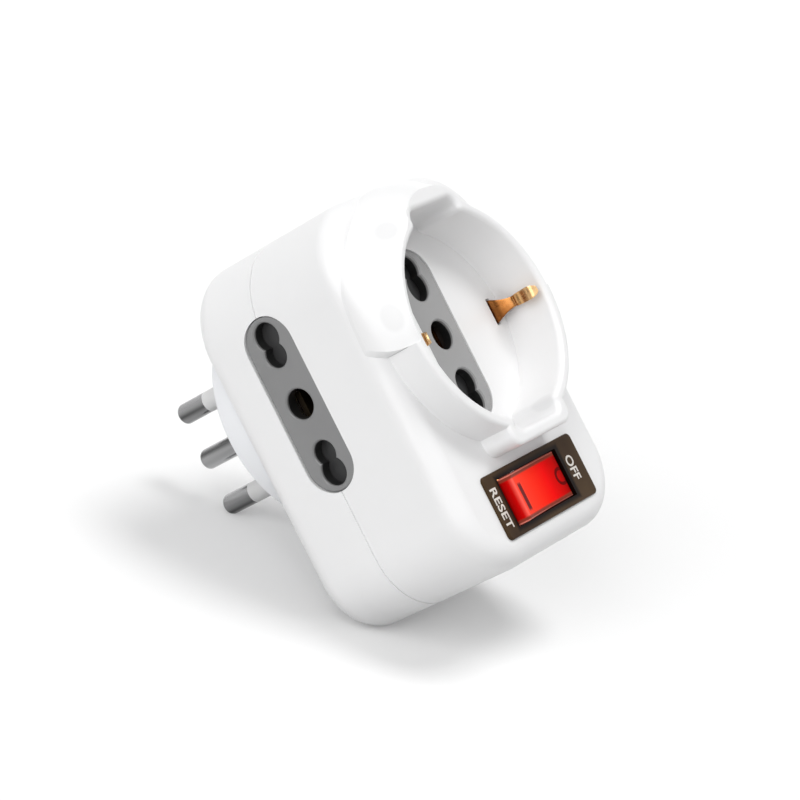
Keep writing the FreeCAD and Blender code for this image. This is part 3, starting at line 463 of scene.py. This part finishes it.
# The frame is painted near black round the rocker, where it dips into the opening: painted shade in the gap.
gap_shade_start, gap_shade_full, gap_shade_black = 0.0013, 0.0004, (0.006, 0.003, 0.002)
tree = switch_brown.node_tree
base_colour = tree.nodes["Principled BSDF"].inputs["Base Color"]
place = place_on_piece(tree)
beside = combined(tree, "ABSOLUTE", combined(tree, "SUBTRACT", place["X"], rocker_middle_x))
beside = combined(tree, "SUBTRACT", beside, high_corner[0] - rocker_middle_x)
above = combined(tree, "ABSOLUTE", combined(tree, "SUBTRACT", place["Z"], rocker_middle_z))
above = combined(tree, "SUBTRACT", above, high_corner[2] - rocker_middle_z)
gap_shade = step(tree, combined(tree, "MAXIMUM", beside, above), gap_shade_start, gap_shade_full)
tree.links.new(over(tree, base_colour.links[0].from_socket, gap_shade_black, gap_shade), base_colour)

# Switch works. A plunger in the rocker tilts the brass arm in a black case with three brass terminals.
# The bimetal strip bends with the current and lets the arm go; on the real switch the lamp and its resistor
# light the rocker, and here the rocker's glow is painted.
switch_black = moulded_plastic("switch_black", dark=(0.015, 0.015, 0.016), light=(0.028, 0.028, 0.03),
                               rough=(0.4, 0.55), depth=0.00001)
dress(switch_black, "plunger", "switch_case")
dress(contact_brass, "contact_arm", "terminal_in", "terminal_lamp", "terminal_out")
bimetal = drawn_metal("bimetal", dark=(0.42, 0.38, 0.32), light=(0.60, 0.56, 0.48),
                      rough=(0.3, 0.45), stretch=(0.1, 1, 1), depth=0.000004)
dress(bimetal, "bimetal_strip")
lamp_glass, tree, shader = new_material("lamp_glass")
shader.inputs["Transmission Weight"].default_value = 0.8
shader.inputs["Emission Strength"].default_value = 1.5
glow = two_tones(tree, noise(tree, 500.0), dark=(0.9, 0.25, 0.06), light=(1.0, 0.5, 0.2))
tree.links.new(glow, shader.inputs["Emission Color"])
tree.links.new(spread(tree, noise(tree, 500.0), 0.05, 0.15), shader.inputs["Roughness"])
dress(lamp_glass, "neon_lamp")
resistor_tan = moulded_plastic("resistor_tan", dark=(0.50, 0.36, 0.20), light=(0.62, 0.47, 0.28),
                               rough=(0.3, 0.45), depth=0.00001)
dress(resistor_tan, "lamp_resistor")

# Rear casing half. The same white plastic, with the round opening for the plug and four screw wells.
# It closes on the front half, and the screws draw the two together.
dress(casing_white, "rear_shell")

# Contact carrier and arcs. A pale moulded plate, fixed in the rear half by its two tabs.
# The roots of the turning pins slide beside its two brass arcs.
carrier_ivory = moulded_plastic("carrier_ivory", dark=(0.60, 0.59, 0.54), light=(0.68, 0.67, 0.62),
                                rough=(0.4, 0.55), depth=0.00001)
dress(carrier_ivory, "contact_carrier", "retaining_ring")
dress(contact_brass, "line_arc", "neutral_arc")

# Turning plug. White moulded base with a round flange and a raised nose, slightly bluer than the casing.
# A ring and three steel screws hold it in the rear half, so that it can turn.
plug_white = moulded_plastic("plug_white", dark=(0.85, 0.86, 0.885), light=(0.87, 0.88, 0.90),
                             rough=(0.28, 0.36), depth=0.000004)
dress(plug_white, "plug_base")
screw_steel = drawn_metal("screw_steel", dark=(0.40, 0.41, 0.42), light=(0.58, 0.59, 0.60),
                          rough=(0.25, 0.45), stretch=(1, 1, 1), depth=0.000006)
dress(screw_steel, "ring_screws")

# Pins. Nickel-plated steel, moulded into the plug's nose. Long streaks along them run from pale grey to near
# black: partly polishing streaks, partly painted reflection of dark stripes.
# The outer two have a white sleeve let in flush at the root.
pin_nickel = drawn_metal("pin_nickel", dark=(0.07, 0.07, 0.07), light=(0.52, 0.52, 0.525),
                         rough=(0.14, 0.24), stretch=(1, 0.08, 1), depth=0.000002,
                         tone_noise=(420.0, 1.0, (1, 0.02, 1)))
dress(pin_nickel, "pin_line", "pin_neutral", "pin_earth")
sleeve_white = moulded_plastic("sleeve_white", dark=(0.66, 0.66, 0.66), light=(0.74, 0.74, 0.74),
                               rough=(0.35, 0.5), depth=0.000008)
dress(sleeve_white, "sleeve_line", "sleeve_neutral")

# Casing screws. Four cross-headed steel screws, zinc-plated, set deep in the wells of the rear half.
# They go into the bosses of the front half.
dress(screw_steel, "casing_screws")

# Floor: a plain pale sheet that keeps the adapter's shadow and reads white to the camera. It lies square
# to the picture's upright, as the shadow in the photograph does, and touches the adapter's lowest edge.
# It shows from above alone, so that it hides nothing from below.
across = Vector((0.541203, -0.710732, -0.449399))
upward = Vector((0.25588, -0.369893, 0.893143))
back = Vector((-0.801015, -0.598364, -0.018325))
floor_rise = math.radians(20.0)
floor_roll = math.radians(15.0)
floor_size = 3.0
floor_clearance = 0.0001
floor_up = math.cos(floor_roll) * upward + math.sin(floor_roll) * across
floor_up = math.cos(floor_rise) * floor_up + math.sin(floor_rise) * back
shell = nodes["rear_shell"]
lowest = min(floor_up.dot(shell.matrix_world @ vertex.co) for vertex in shell.data.vertices)
bpy.ops.object.select_all(action="DESELECT")
bpy.ops.mesh.primitive_plane_add(size=floor_size, location=(0, 0, 0))
floor = bpy.context.object
floor.name = "floor"
floor.data.transform(floor_up.to_track_quat("Z", "Y").to_matrix().to_4x4())
floor.data.transform(Matrix.Translation((lowest - floor_clearance) * floor_up))


def seen(tree):
    """1 where it is seen, straight, in a reflection or through glass, and 0 where it only lights the rest."""
    light_path = tree.nodes.new("ShaderNodeLightPath")
    mirrored = combined(tree, "MAXIMUM", light_path.outputs["Is Camera Ray"],
                        light_path.outputs["Is Glossy Ray"])
    return combined(tree, "MAXIMUM", mirrored, light_path.outputs["Is Transmission Ray"])


floor_lighting, floor_seen, floor_fill = 0.58, 0.86, 0.12
floor_white, tree, shader = new_material("floor_white")
shader.inputs["Roughness"].default_value = 0.9
floor_is_seen = seen(tree)
pale = tree.nodes.new("ShaderNodeMix")
pale.data_type = "RGBA"
pale.inputs["A"].default_value = (floor_lighting, floor_lighting, floor_lighting, 1.0)
pale.inputs["B"].default_value = (floor_seen, floor_seen, floor_seen, 1.0)
tree.links.new(floor_is_seen, pale.inputs["Factor"])
tree.links.new(pale.outputs["Result"], shader.inputs["Base Color"])
shader.inputs["Emission Color"].default_value = (1.0, 1.0, 1.0, 1.0)
tree.links.new(combined(tree, "MULTIPLY", floor_is_seen, floor_fill), shader.inputs["Emission Strength"])
clear = tree.nodes.new("ShaderNodeBsdfTransparent")
face_side = tree.nodes.new("ShaderNodeNewGeometry")
one_sided = tree.nodes.new("ShaderNodeMixShader")
tree.links.new(face_side.outputs["Backfacing"], one_sided.inputs[0])
tree.links.new(shader.outputs[0], one_sided.inputs[1])
tree.links.new(clear.outputs[0], one_sided.inputs[2])
tree.links.new(one_sided.outputs[0], tree.nodes["Material Output"].inputs["Surface"])
floor.data.materials.append(floor_white)

# Studio light: a surround that is white to the eye and lights less, and three soft lamps. One stands high
# before the front, the strongest and widest on the left, and a faint one low behind on the right.
surround_lighting, surround_seen = 0.40, 1.0
world = bpy.data.worlds.new("surround")
bpy.context.scene.world = world
world.use_nodes = True
tree = world.node_tree
background = tree.nodes["Background"]
level = tree.nodes.new("ShaderNodeMapRange")
level.inputs["To Min"].default_value = surround_lighting
level.inputs["To Max"].default_value = surround_seen
tree.links.new(seen(tree), level.inputs["Value"])
background.inputs["Color"].default_value = (1.0, 1.0, 1.0, 1.0)
tree.links.new(level.outputs["Result"], background.inputs["Strength"])


def soft_lamp(name, direction, width, strength):
    """A wide, even lamp that shines from this direction on everything alike; its width is in degrees."""
    bpy.ops.object.light_add(type="SUN", location=direction)
    lamp = bpy.context.object
    lamp.name = name
    lamp.data.angle = math.radians(width)
    lamp.data.energy = strength
    lamp.rotation_euler = (-Vector(direction)).to_track_quat("-Z", "Y").to_euler()


soft_lamp("front_lamp", (0.22, -0.80, 0.55), width=26.0, strength=1.35)
soft_lamp("side_lamp", (-0.80, -0.42, 0.42), width=50.0, strength=1.5)
soft_lamp("back_lamp", (0.70, 0.60, 0.10), width=40.0, strength=0.5)

# Camera at the photograph's viewing angle, tilted about its line of sight.
camera_place = Matrix.Translation((-0.4335, -0.3520, -0.0167))
camera_data = bpy.data.cameras.new("camera")
camera = bpy.data.objects.new("camera", camera_data)
bpy.context.scene.collection.objects.link(camera)
camera_data.sensor_width = 36.0
camera_data.lens = 135.73
camera_data.clip_start = 0.01
camera.matrix_world = camera_place @ Matrix((across, upward, back)).transposed().to_4x4()
bpy.context.scene.camera = camera
bpy.context.scene.view_settings.view_transform = "Standard"
